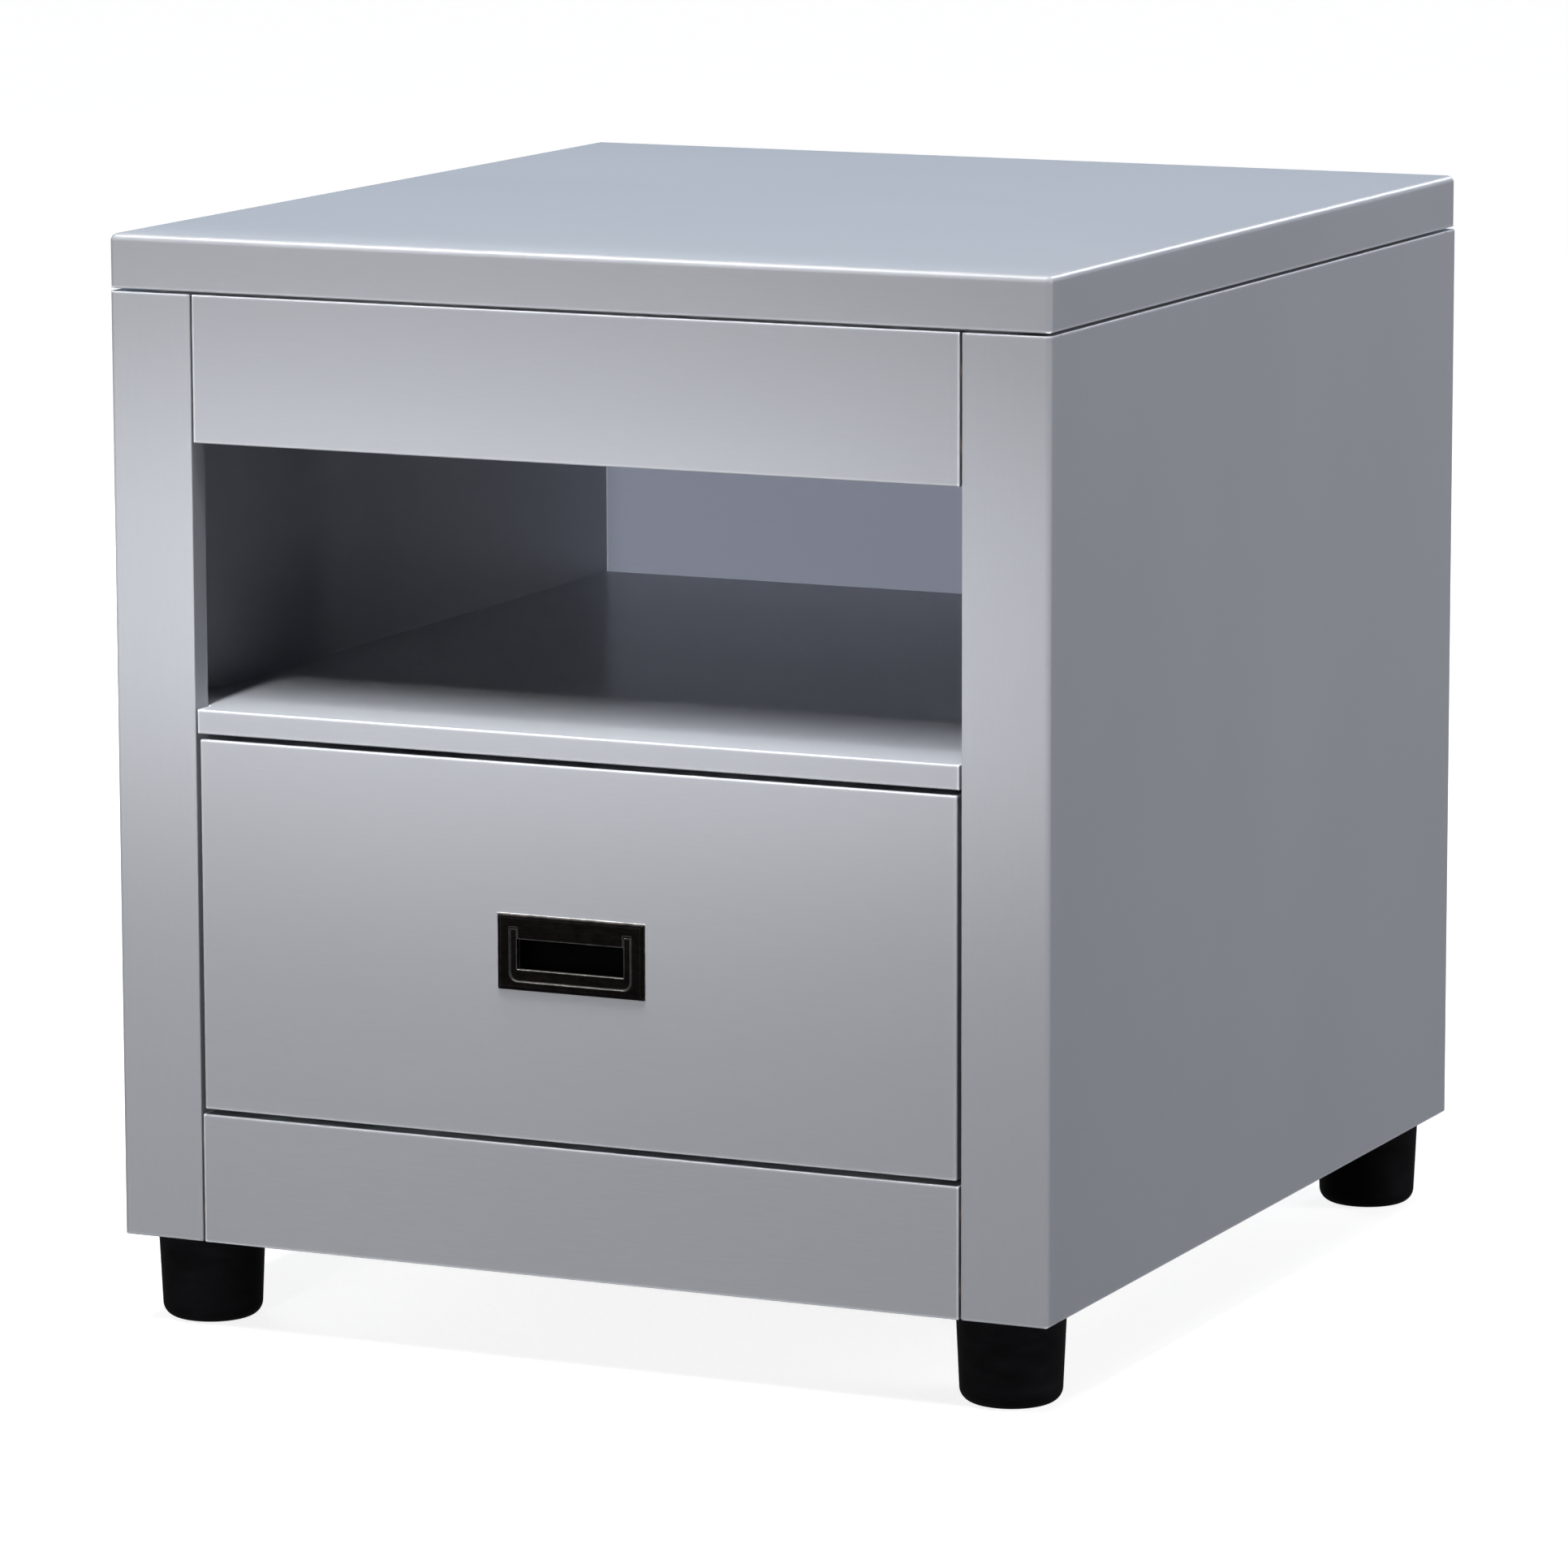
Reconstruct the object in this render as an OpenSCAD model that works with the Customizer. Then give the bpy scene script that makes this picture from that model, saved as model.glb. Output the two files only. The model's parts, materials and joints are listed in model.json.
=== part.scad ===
// Side table with an open cubby over one inset drawer, on four round feet.
// X runs to the right as the front is faced, Y to the back and Z up.
// The origin is on the floor, at the centre of the case's footprint.

/* [Overall] */
// Width over the side panels
table_w = 559; // [520:1:620]
// Depth from the front frame to the rear rails
table_d = 610; // [590:1:660]
// Height from the floor to the top
table_h = 610; // [590:1:660]

/* [Feet] */
// Height of a foot
foot_h = 50; // [40:1:60]
// Radius of a foot at its top
foot_top_r = 30; // [26:0.5:32]
// Radius of a foot near the floor
foot_low_r = 28; // [24:0.5:30]
// Rounding of a foot's lower edge
foot_edge_r = 8; // [4:0.5:10]
// Distance from the case's side and front to a foot's centre
foot_inset = 36; // [34:1:42]

/* [Case] */
// Thickness of the top slab
top_t = 30; // [25:0.5:34]
// Rounding of the top slab's arrises
top_edge_r = 4; // [2:0.5:6]
// Height of the dark gap under the top slab
shadow_gap = 1.5; // [1:0.5:4]
// Thickness of a side panel
side_t = 22; // [20:1:24]
// Width of a stile
stile_w = 50; // [48:1:54]
// Thickness of the front frame
frame_t = 15; // [14:0.5:18]
// Rounding of a stile's outer corner
corner_r = 3.5; // [2:0.5:5]
// Height of the cubby's opening
cubby_h = 147.4; // [140:0.1:150]
// Thickness of the shelf
shelf_t = 13.5; // [12:0.5:15]
// Height of the drawer's opening
drawer_open_h = 213.5; // [210:0.5:216]
// Height of the lower front rail
low_rail_h = 72.6; // [68:0.1:76]
// Thickness of the bottom panel and of the sub-top
carcass_t = 18; // [18:0.5:20]
// Thickness of the back panel
back_t = 19; // [16:1:20]
// Thickness of the rear rails
rear_rail_t = 18; // [16:1:20]

/* [Drawer] */
// Gap at each side of the drawer front
gap_side = 2.5; // [2:0.1:3]
// Gap above and below the drawer front
gap_z = 3; // [2:0.1:4]
// Thickness of the drawer front
front_t = 20; // [19:0.5:22]
// Height of the drawer box
box_h = 160; // [150:1:170]
// Depth of the drawer box
box_d = 500; // [480:1:510]
// Thickness of the drawer box's walls
box_t = 12; // [12:0.5:13]
// Thickness of the drawer bottom
box_bottom_t = 6; // [5:0.5:8]

/* [Slides] */
// Length of a slide, which is also the drawer's travel
slide_l = 450; // [400:10:460]
// Height of the slides' centre line
slide_z = 200; // [195:1:205]

/* [Pull] */
// Width of the pull's plate
plate_w = 88.7; // [86:0.1:92]
// Height of the pull's plate
plate_h = 42.2; // [41:0.1:44]
// How far the plate stands out from the drawer front
plate_proud = 2; // [1.8:0.1:2.4]
// Width over the bail's arms
bail_w = 72.3; // [70:0.1:73]
// Width of one arm of the bail
arm_w = 4; // [3.5:0.1:4.5]
// Height of the bail's lower bar
bar_h = 6.3; // [5.5:0.1:6.5]

/* [Hidden] */
$fn = 48;

// Colours
LACQUER = [0.62, 0.65, 0.69];
PLYWOOD = [0.80, 0.69, 0.52];
BEECH = [0.76, 0.60, 0.42];
STEEL = [0.72, 0.73, 0.75];
BRONZE = [0.20, 0.18, 0.17];
BLACK = [0.08, 0.08, 0.09];

// The case's planes
side_x = table_w / 2;
wall_x = side_x - side_t;
stile_x = side_x - stile_w;
front_y = -table_d / 2;
frame_y = front_y + frame_t;
rear_y = table_d / 2;
back_y = rear_y - rear_rail_t;
cubby_back_y = back_y - back_t;
case_z = foot_h;
low_rail_z = case_z + low_rail_h;
shelf_z = low_rail_z + drawer_open_h;
shelf_top_z = shelf_z + shelf_t;
apron_z = shelf_top_z + cubby_h;
slab_z = table_h - top_t;
case_top_z = slab_z - shadow_gap;
floor_z = case_z + carcass_t;
sub_top_z = slab_z - carcass_t;
rear_upper_rail_h = 80;
rear_lower_rail_h = 60;

// Wooden dowels: a hole is wider and longer than its dowel by these clearances
dowel_l = 30;
dowel_r = 4;
fit = 0.05;
end_gap = 0.5;

// Countersunk and pan-head screws
screw_r = 2;
screw_head_r = 4;
pan_head_r = 4;
pan_head_h = 2.5;

// Battens between the side panels and the slides
batten_half_h = 40;
batten_screw_l = 42;
batten_screw_ys = [-240, 200];
batten_screw_rise = 32;

// Slide members. Across the slide, sizes count from the batten's face towards the drawer;
// up and down, they count from the slide's centre line.
slide_t = 12.7;
slide_y = front_y + front_t + 3; // behind the drawer front
metal_t = 1.2;
cabinet_half_h = 22.5;
cabinet_reach = 9.6;
lip_t = 1;
lip_drop = 1;
middle_u = 2.3;
middle_half_h = 17.1;
middle_reach = 9.5;
drawer_member_u = 4.6;
drawer_member_half_h = 12.7;
retainer_t = 0.5;
flange_t = 0.6;
retainer_l = 168;
ball_count = 6;
ball_pitch = retainer_l / ball_count;
outer_ball_r = 1.9;
outer_ball_u = 5.4;
outer_ball_h = (cabinet_half_h - metal_t + middle_half_h) / 2;
outer_retainer_u = 1.5;
outer_retainer_end = 8.3;
inner_ball_r = 1.4;
inner_ball_u = 7.2;
inner_ball_h = (middle_half_h - metal_t + drawer_member_half_h) / 2;
inner_retainer_u = 3.8;
inner_retainer_end = 9.6;
ball_pocket_gap = 0.1;
slide_screw_r = 1.75;
slide_screw_head_r = 2.9;
slide_screw_steps = [30, slide_l / 2, slide_l - 30];
cabinet_screw_l = 16;
drawer_screw_l = 10;

// Drawer
front_low_z = low_rail_z + gap_z;
front_high_z = shelf_z - gap_z;
front_x = stile_x - gap_side;
box_x = stile_x - slide_t;
box_y = front_y + front_t;
box_rear_y = box_y + box_d;
box_lift = 9.4;
box_z = low_rail_z + box_lift;
box_top_z = box_z + box_h;
groove_lift = 12;
groove_z = box_z + groove_lift;
groove_depth = 5;
groove_gap = 0.1;
box_dowel_r = 3;
box_dowel_l = 24;
box_dowel_in_side = 8;
box_dowel_rises = [30, 83, 140];

// Pull, in its own frame: the origin is on the drawer front's face, at the plate's centre
pull_z = (front_low_z + front_high_z) / 2;
bevel_w = 2.3;
bevel_foot = 0.5;
bail_t = 3;
bail_corner_r = 4.5;
bail_face = -plate_proud + 0.2;
bail_y = bail_face + bail_t / 2;
bar_low_z = -plate_h / 2 + 5.4; // above the plate's lower edge
arm_top_z = plate_h / 2 - 7.7; // below the plate's upper edge
pivot_z = arm_top_z - bail_t / 2;
pin_r = 0.9;
pin_end_x = bail_w / 2 + 3;
bail_gap = 0.4;
groove_floor_y = bail_face + bail_t + 0.3;
recess_x = bail_w / 2 - arm_w;
recess_top_z = plate_h / 2 - 13.6; // below the plate's upper edge
finger_room = 3;
recess_y = 9;
cup_x = 41.5;
cup_low_z = bar_low_z - 2.8;
cup_high_z = 17;
cup_y = 11;
pocket_gap = 0.3;
pull_screw_x = 22;
pull_screw_z = 12.5;
pull_screw_l = 28.5;

// ---- Shapes that repeat ----

// A box between its lowest and its highest corner
module block(low, high) {
    translate(low)
        cube(high - low);
}

// The child and its mirror image across the table's middle
module both_sides() {
    children();
    mirror([1, 0, 0])
        children();
}

// A rectangle with all four corners rounded
module rounded_rectangle(w, h, r) {
    square([w - 2 * r, h], center = true);
    square([w, h - 2 * r], center = true);
    for (x = [-1, 1], y = [-1, 1])
        translate([x * (w / 2 - r), y * (h / 2 - r)])
            circle(r);
}

// A rectangle from the origin with its two upper corners rounded
module arched_rectangle(w, h, r) {
    translate([-w / 2, 0])
        square([w, h - r]);
    translate([-w / 2 + r, 0])
        square([w - 2 * r, h]);
    for (x = [-1, 1])
        translate([x * (w / 2 - r), h - r])
            circle(r);
}

// A countersunk screw that enters along +Z with its head's face at the origin
module flat_screw(l, r, head_r) {
    cylinder(h = head_r - r, r1 = head_r, r2 = r);
    cylinder(h = l, r = r);
}

module flat_screw_hole(l, r, head_r) {
    translate([0, 0, -1])
        cylinder(h = 1, r = head_r + fit);
    cylinder(h = head_r - r, r1 = head_r + fit, r2 = r + fit);
    cylinder(h = l + end_gap, r = r + fit);
}

// A pan-head screw that enters along +Z with the underside of its head at the origin
module pan_screw(l) {
    translate([0, 0, -pan_head_h])
        cylinder(h = pan_head_h, r = pan_head_r);
    cylinder(h = l, r = screw_r);
}

module pan_screw_hole(l) {
    translate([0, 0, -1])
        cylinder(h = l + 1 + end_gap, r = screw_r + fit);
}

// Turns a shape that enters along +Z to enter along another direction
module enter_right() { rotate([0, 90, 0]) children(); }
module enter_left() { rotate([0, -90, 0]) children(); }
module enter_back() { rotate([-90, 0, 0]) children(); }
module enter_front() { rotate([90, 0, 0]) children(); }

// ---- Dowel places, on the right-hand half of the case ----

shelf_mid_z = (shelf_z + shelf_top_z) / 2;
bottom_mid_z = case_z + carcass_t / 2;
sub_top_mid_z = sub_top_z + carcass_t / 2;
frame_mid_y = front_y + frame_t / 2;
rear_rail_mid_y = rear_y - rear_rail_t / 2;
back_mid_y = back_y - back_t / 2;
rail_dowel_step = 20;
apron_mid_z = (apron_z + case_top_z) / 2;
low_rail_mid_z = (case_z + low_rail_z) / 2;
rear_upper_mid_z = case_top_z - rear_upper_rail_h / 2;
rear_lower_mid_z = floor_z + rear_lower_rail_h / 2;
panel_dowel_ys = [-180, 0, 180];
back_dowel_zs = [160, 300, 440];
stile_dowel_zs = [90, 200, 310, 420, 530];
stile_dowel_in_stile = 10;

function panel_dowels(z) = [for (y = panel_dowel_ys) [wall_x, y, z]];
function pair_dowels(x, y, z) = [for (s = [-1, 1]) [x, y, z + s * rail_dowel_step]];

bottom_dowels = panel_dowels(bottom_mid_z);
shelf_dowels = panel_dowels(shelf_mid_z);
sub_top_dowels = panel_dowels(sub_top_mid_z);
upper_rail_dowels = pair_dowels(stile_x, frame_mid_y, apron_mid_z);
lower_rail_dowels = pair_dowels(stile_x, frame_mid_y, low_rail_mid_z);
rear_upper_dowels = pair_dowels(wall_x, rear_rail_mid_y, rear_upper_mid_z);
rear_lower_dowels = pair_dowels(wall_x, rear_rail_mid_y, rear_lower_mid_z);
back_dowels = [for (z = back_dowel_zs) [wall_x, back_mid_y, z]];
cross_dowels = concat(bottom_dowels, shelf_dowels, sub_top_dowels, upper_rail_dowels,
    lower_rail_dowels, rear_upper_dowels, rear_lower_dowels, back_dowels);
stile_dowel_y = frame_y - stile_dowel_in_stile + dowel_l / 2;
stile_dowels = [for (z = stile_dowel_zs) [wall_x + side_t / 2, stile_dowel_y, z]];

// A dowel, or its hole, along Z with its middle at the origin
module dowel(grow = 0, gap = 0) {
    cylinder(h = dowel_l + 2 * gap, r = dowel_r + grow, center = true);
}

module cross_dowel_holes(places) {
    for (p = places)
        translate(p)
            enter_right()
                dowel(fit, end_gap);
}

module stile_dowel_holes() {
    for (p = stile_dowels)
        translate(p)
            enter_back()
                dowel(fit, end_gap);
}

// ---- Screw places ----

top_screw_places = [for (x = [-200, 200], y = [-220, 0, 200]) [x, y, sub_top_z]];
top_screw_l = carcass_t + 20; // through the sub-top and into the slab
back_screw_xs = [-180, -60, 60, 180];
back_screw_l = 45;
batten_screw_places = [
    for (y = batten_screw_ys, s = [-1, 1]) [stile_x, y, slide_z + s * batten_screw_rise]
];
box_screw_places = [
    for (x = [-150, 150], z = [box_z + 33, box_top_z - 30]) [x, box_y + box_t, z]
];
box_screw_l = 25;
foot_x = side_x - foot_inset;
foot_y = rear_y - foot_inset;

module back_screw_holes() {
    for (x = back_screw_xs) {
        translate([x, back_y, shelf_mid_z])
            enter_front()
                flat_screw_hole(back_screw_l, screw_r, screw_head_r);
        translate([x, rear_y, sub_top_mid_z])
            enter_front()
                flat_screw_hole(back_screw_l, screw_r, screw_head_r);
    }
}

module batten_screw_holes() {
    for (p = batten_screw_places)
        translate(p)
            enter_right()
                flat_screw_hole(batten_screw_l, screw_r, screw_head_r);
}

module cabinet_member_screw_places() {
    for (s = slide_screw_steps)
        translate([stile_x - metal_t, slide_y + s, slide_z])
            enter_right()
                children();
}

module drawer_member_screw_places() {
    for (s = slide_screw_steps)
        translate([box_x + metal_t, slide_y + s, slide_z])
            enter_left()
                children();
}

// ---- Case ----

module top_panel() {
    color(LACQUER)
        difference() {
            translate([0, 0, slab_z])
                intersection() {
                    linear_extrude(top_t)
                        rounded_rectangle(table_w, table_d, top_edge_r);
                    translate([0, rear_y, 0])
                        rotate([90, 0, 0])
                            linear_extrude(table_d)
                                arched_rectangle(table_w, top_t, top_edge_r);
                    translate([-side_x, 0, 0])
                        rotate([90, 0, 90])
                            linear_extrude(table_w)
                                arched_rectangle(table_d, top_t, top_edge_r);
                }
            for (p = top_screw_places)
                translate(p)
                    pan_screw_hole(top_screw_l);
        }
}

module sub_top() {
    color(LACQUER)
        difference() {
            block([-wall_x, frame_y, sub_top_z], [wall_x, cubby_back_y, slab_z]);
            both_sides()
                cross_dowel_holes(sub_top_dowels);
            for (p = top_screw_places)
                translate(p)
                    pan_screw_hole(top_screw_l);
            back_screw_holes();
        }
}

module side_panel() {
    difference() {
        block([wall_x, frame_y, case_z], [side_x, rear_y, case_top_z]);
        cross_dowel_holes(concat(bottom_dowels, shelf_dowels, sub_top_dowels));
        cross_dowel_holes(concat(rear_upper_dowels, rear_lower_dowels, back_dowels));
        stile_dowel_holes();
        batten_screw_holes();
    }
}

module right_side_panel() {
    color(LACQUER)
        side_panel();
}

module left_side_panel() {
    color(LACQUER)
        mirror([1, 0, 0])
            side_panel();
}

module back_panel() {
    color(LACQUER)
        difference() {
            block([-wall_x, cubby_back_y, floor_z], [wall_x, back_y, case_top_z]);
            both_sides()
                cross_dowel_holes(back_dowels);
            back_screw_holes();
        }
}

module rear_upper_rail() {
    color(LACQUER)
        difference() {
            block([-wall_x, back_y, case_top_z - rear_upper_rail_h], [wall_x, rear_y, case_top_z]);
            both_sides()
                cross_dowel_holes(rear_upper_dowels);
            back_screw_holes();
        }
}

module rear_lower_rail() {
    color(LACQUER)
        difference() {
            block([-wall_x, back_y, floor_z], [wall_x, rear_y, floor_z + rear_lower_rail_h]);
            both_sides()
                cross_dowel_holes(rear_lower_dowels);
        }
}

// A stile's section: a rectangle whose outer front corner is rounded
module stile_section() {
    translate([stile_x, front_y + corner_r])
        square([stile_w, frame_t - corner_r]);
    translate([stile_x, front_y])
        square([stile_w - corner_r, frame_t]);
    translate([side_x - corner_r, front_y + corner_r])
        circle(corner_r);
}

module stile() {
    difference() {
        translate([0, 0, case_z])
            linear_extrude(case_top_z - case_z)
                stile_section();
        cross_dowel_holes(concat(upper_rail_dowels, lower_rail_dowels));
        stile_dowel_holes();
    }
}

module right_stile() {
    color(LACQUER)
        stile();
}

module left_stile() {
    color(LACQUER)
        mirror([1, 0, 0])
            stile();
}

module upper_front_rail() {
    color(LACQUER)
        difference() {
            block([-stile_x, front_y, apron_z], [stile_x, frame_y, case_top_z]);
            both_sides()
                cross_dowel_holes(upper_rail_dowels);
        }
}

module lower_front_rail() {
    color(LACQUER)
        difference() {
            block([-stile_x, front_y, case_z], [stile_x, frame_y, low_rail_z]);
            both_sides()
                cross_dowel_holes(lower_rail_dowels);
        }
}

module shelf_panel() {
    color(LACQUER)
        difference() {
            union() {
                block([-wall_x, frame_y, shelf_z], [wall_x, cubby_back_y, shelf_top_z]);
                block([-stile_x, front_y, shelf_z], [stile_x, frame_y, shelf_top_z]);
            }
            both_sides()
                cross_dowel_holes(shelf_dowels);
            back_screw_holes();
        }
}

insert_r = 6;
insert_l = 16;
insert_low_z = case_z + 0.5;

module foot_places() {
    for (x = [-foot_x, foot_x], y = [-foot_y, foot_y])
        translate([x, y, 0])
            children();
}

module bottom_panel() {
    color(LACQUER)
        difference() {
            block([-wall_x, frame_y, case_z], [wall_x, rear_y, floor_z]);
            both_sides()
                cross_dowel_holes(bottom_dowels);
            foot_places()
                translate([0, 0, case_z - 1])
                    cylinder(h = insert_l + 2, r = insert_r + fit);
        }
}

module packing_batten() {
    difference() {
        block([stile_x, frame_y, slide_z - batten_half_h],
            [wall_x, cubby_back_y, slide_z + batten_half_h]);
        batten_screw_holes();
        cabinet_member_screw_places()
            flat_screw_hole(cabinet_screw_l, slide_screw_r, slide_screw_head_r);
    }
}

module right_packing_batten() {
    color(BEECH)
        packing_batten();
}

module left_packing_batten() {
    color(BEECH)
        mirror([1, 0, 0])
            packing_batten();
}

// ---- Feet ----

stud_r = 4;
stud_low_z = 22;

module foot() {
    difference() {
        rotate_extrude() {
            polygon([
                [0, 0],
                [foot_low_r - foot_edge_r, 0],
                [foot_low_r, foot_edge_r],
                [foot_top_r, foot_h],
                [0, foot_h]
            ]);
            intersection() {
                translate([foot_low_r - foot_edge_r, foot_edge_r])
                    circle(foot_edge_r);
                square([foot_low_r, foot_edge_r]);
            }
        }
        translate([0, 0, stud_low_z - end_gap])
            cylinder(h = foot_h, r = stud_r + fit);
    }
}

module front_left_foot() {
    color(BLACK)
        translate([-foot_x, -foot_y, 0])
            foot();
}

module front_right_foot() {
    color(BLACK)
        translate([foot_x, -foot_y, 0])
            foot();
}

module rear_left_foot() {
    color(BLACK)
        translate([-foot_x, foot_y, 0])
            foot();
}

module rear_right_foot() {
    color(BLACK)
        translate([foot_x, foot_y, 0])
            foot();
}

module foot_studs() {
    color(STEEL)
        foot_places()
            translate([0, 0, stud_low_z])
                cylinder(h = insert_low_z + insert_l - stud_low_z, r = stud_r);
}

module foot_inserts() {
    color(STEEL)
        foot_places()
            translate([0, 0, insert_low_z])
                difference() {
                    cylinder(h = insert_l, r = insert_r);
                    translate([0, 0, -1])
                        cylinder(h = insert_l + 2, r = stud_r + fit);
                }
}

// ---- Fasteners of the case ----

module case_dowels() {
    color(BEECH)
        both_sides() {
            for (p = cross_dowels)
                translate(p)
                    enter_right()
                        dowel();
            for (p = stile_dowels)
                translate(p)
                    enter_back()
                        dowel();
        }
}

module top_screws() {
    color(STEEL)
        for (p = top_screw_places)
            translate(p)
                pan_screw(top_screw_l);
}

module back_screws() {
    color(STEEL)
        for (x = back_screw_xs) {
            translate([x, back_y, shelf_mid_z])
                enter_front()
                    flat_screw(back_screw_l, screw_r, screw_head_r);
            translate([x, rear_y, sub_top_mid_z])
                enter_front()
                    flat_screw(back_screw_l, screw_r, screw_head_r);
        }
}

module batten_screws() {
    color(STEEL)
        both_sides()
            for (p = batten_screw_places)
                translate(p)
                    enter_right()
                        flat_screw(batten_screw_l, screw_r, screw_head_r);
}

// ---- Slides, drawn on the right and mirrored for the left ----

// Extrudes a section along the slide: x counts from the batten, y from the centre line
module along_slide(l, y) {
    translate([stile_x, y + l, slide_z])
        mirror([1, 0, 0])
            rotate([90, 0, 0])
                linear_extrude(l)
                    children();
}

// A channel's section: its flanges run from low_u to high_u, and its web starts at web_u
module channel(low_u, high_u, web_u, half_h, web, flange) {
    translate([web_u, -half_h])
        square([web, 2 * half_h]);
    for (h = [-half_h, half_h - flange])
        translate([low_u, h])
            square([high_u - low_u, flange]);
}

module cabinet_member() {
    difference() {
        along_slide(slide_l, slide_y) {
            channel(0, cabinet_reach, 0, cabinet_half_h, metal_t, metal_t);
            for (h = [-cabinet_half_h, cabinet_half_h - metal_t - lip_drop])
                translate([cabinet_reach - lip_t, h])
                    square([lip_t, metal_t + lip_drop]);
        }
        cabinet_member_screw_places()
            flat_screw_hole(cabinet_screw_l, slide_screw_r, slide_screw_head_r);
    }
}

module intermediate_member() {
    along_slide(slide_l, slide_y)
        channel(middle_u, middle_reach, middle_u, middle_half_h, metal_t, metal_t);
}

module drawer_member() {
    difference() {
        along_slide(slide_l, slide_y)
            channel(drawer_member_u, slide_t, slide_t - metal_t, drawer_member_half_h,
                metal_t, metal_t);
        drawer_member_screw_places()
            flat_screw_hole(drawer_screw_l, slide_screw_r, slide_screw_head_r);
    }
}

retainer_y = slide_y + (slide_l - retainer_l) / 2;

// Places along a retainer, in its upper and its lower flange
module ball_places(u, h) {
    for (i = [0 : ball_count - 1], s = [-1, 1])
        translate([stile_x - u, retainer_y + (i + 0.5) * ball_pitch, slide_z + s * h])
            children();
}

module retainer(u, end, ball_u, ball_h, ball_r) {
    difference() {
        along_slide(retainer_l, retainer_y)
            channel(u, end, u, ball_h + flange_t / 2, retainer_t, flange_t);
        ball_places(ball_u, ball_h)
            cylinder(h = 4 * flange_t, r = ball_r + ball_pocket_gap, center = true);
    }
}

module outer_retainer() {
    retainer(outer_retainer_u, outer_retainer_end, outer_ball_u, outer_ball_h, outer_ball_r);
}

module inner_retainer() {
    retainer(inner_retainer_u, inner_retainer_end, inner_ball_u, inner_ball_h, inner_ball_r);
}

module outer_balls() {
    ball_places(outer_ball_u, outer_ball_h)
        sphere(outer_ball_r);
}

module inner_balls() {
    ball_places(inner_ball_u, inner_ball_h)
        sphere(inner_ball_r);
}

module right_cabinet_member() {
    color(STEEL)
        cabinet_member();
}

module left_cabinet_member() {
    color(STEEL)
        mirror([1, 0, 0])
            cabinet_member();
}

module right_intermediate_member() {
    color(STEEL)
        intermediate_member();
}

module left_intermediate_member() {
    color(STEEL)
        mirror([1, 0, 0])
            intermediate_member();
}

module right_outer_retainer() {
    color(STEEL)
        outer_retainer();
}

module left_outer_retainer() {
    color(STEEL)
        mirror([1, 0, 0])
            outer_retainer();
}

module right_inner_retainer() {
    color(STEEL)
        inner_retainer();
}

module left_inner_retainer() {
    color(STEEL)
        mirror([1, 0, 0])
            inner_retainer();
}

module right_outer_balls() {
    color(STEEL)
        outer_balls();
}

module left_outer_balls() {
    color(STEEL)
        mirror([1, 0, 0])
            outer_balls();
}

module right_inner_balls() {
    color(STEEL)
        inner_balls();
}

module left_inner_balls() {
    color(STEEL)
        mirror([1, 0, 0])
            inner_balls();
}

module right_drawer_member() {
    color(STEEL)
        drawer_member();
}

module left_drawer_member() {
    color(STEEL)
        mirror([1, 0, 0])
            drawer_member();
}

module cabinet_member_screws() {
    color(STEEL)
        both_sides()
            cabinet_member_screw_places()
                flat_screw(cabinet_screw_l, slide_screw_r, slide_screw_head_r);
}

module drawer_member_screws() {
    color(STEEL)
        both_sides()
            drawer_member_screw_places()
                flat_screw(drawer_screw_l, slide_screw_r, slide_screw_head_r);
}

// ---- Drawer ----

// The pull's screws, which enter from inside the drawer
module pull_screw_places() {
    for (x = [-pull_screw_x, pull_screw_x])
        translate([x, box_y + box_t, pull_z + pull_screw_z])
            enter_front()
                children();
}

module drawer_front() {
    color(LACQUER)
        difference() {
            block([-front_x, front_y, front_low_z], [front_x, box_y, front_high_z]);
            translate([0, front_y, pull_z])
                block([-cup_x - pocket_gap, -1, cup_low_z - pocket_gap],
                    [cup_x + pocket_gap, cup_y + pocket_gap, cup_high_z + pocket_gap]);
            for (p = box_screw_places)
                translate(p)
                    enter_front()
                        pan_screw_hole(box_screw_l);
            pull_screw_places()
                pan_screw_hole(pull_screw_l);
        }
}

module box_corner_dowels(grow, gap) {
    inner_x = box_x - box_t;
    for (y = [box_y + box_t / 2, box_rear_y - box_t / 2], rise = box_dowel_rises)
        translate([inner_x + box_dowel_in_side + gap, y, box_z + rise])
            enter_left()
                cylinder(h = box_dowel_l + 2 * gap, r = box_dowel_r + grow);
}

// The slot that the drawer bottom sits in, as one slab cut from all four walls
module bottom_slot() {
    block([-box_x + box_t - groove_depth, box_y + box_t - groove_depth, groove_z - groove_gap],
        [box_x - box_t + groove_depth, box_rear_y - box_t + groove_depth,
            groove_z + box_bottom_t + groove_gap]);
}

module drawer_box_front() {
    color(PLYWOOD)
        difference() {
            block([-box_x + box_t, box_y, box_z], [box_x - box_t, box_y + box_t, box_top_z]);
            bottom_slot();
            both_sides()
                box_corner_dowels(fit, end_gap);
            for (p = box_screw_places)
                translate(p)
                    enter_front()
                        pan_screw_hole(box_screw_l);
            pull_screw_places()
                pan_screw_hole(pull_screw_l);
        }
}

module drawer_side() {
    difference() {
        block([box_x - box_t, box_y, box_z], [box_x, box_rear_y, box_top_z]);
        bottom_slot();
        box_corner_dowels(fit, end_gap);
        drawer_member_screw_places()
            flat_screw_hole(drawer_screw_l, slide_screw_r, slide_screw_head_r);
    }
}

module drawer_right_side() {
    color(PLYWOOD)
        drawer_side();
}

module drawer_left_side() {
    color(PLYWOOD)
        mirror([1, 0, 0])
            drawer_side();
}

module drawer_back() {
    color(PLYWOOD)
        difference() {
            block([-box_x + box_t, box_rear_y - box_t, box_z],
                [box_x - box_t, box_rear_y, box_top_z]);
            bottom_slot();
            both_sides()
                box_corner_dowels(fit, end_gap);
        }
}

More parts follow.
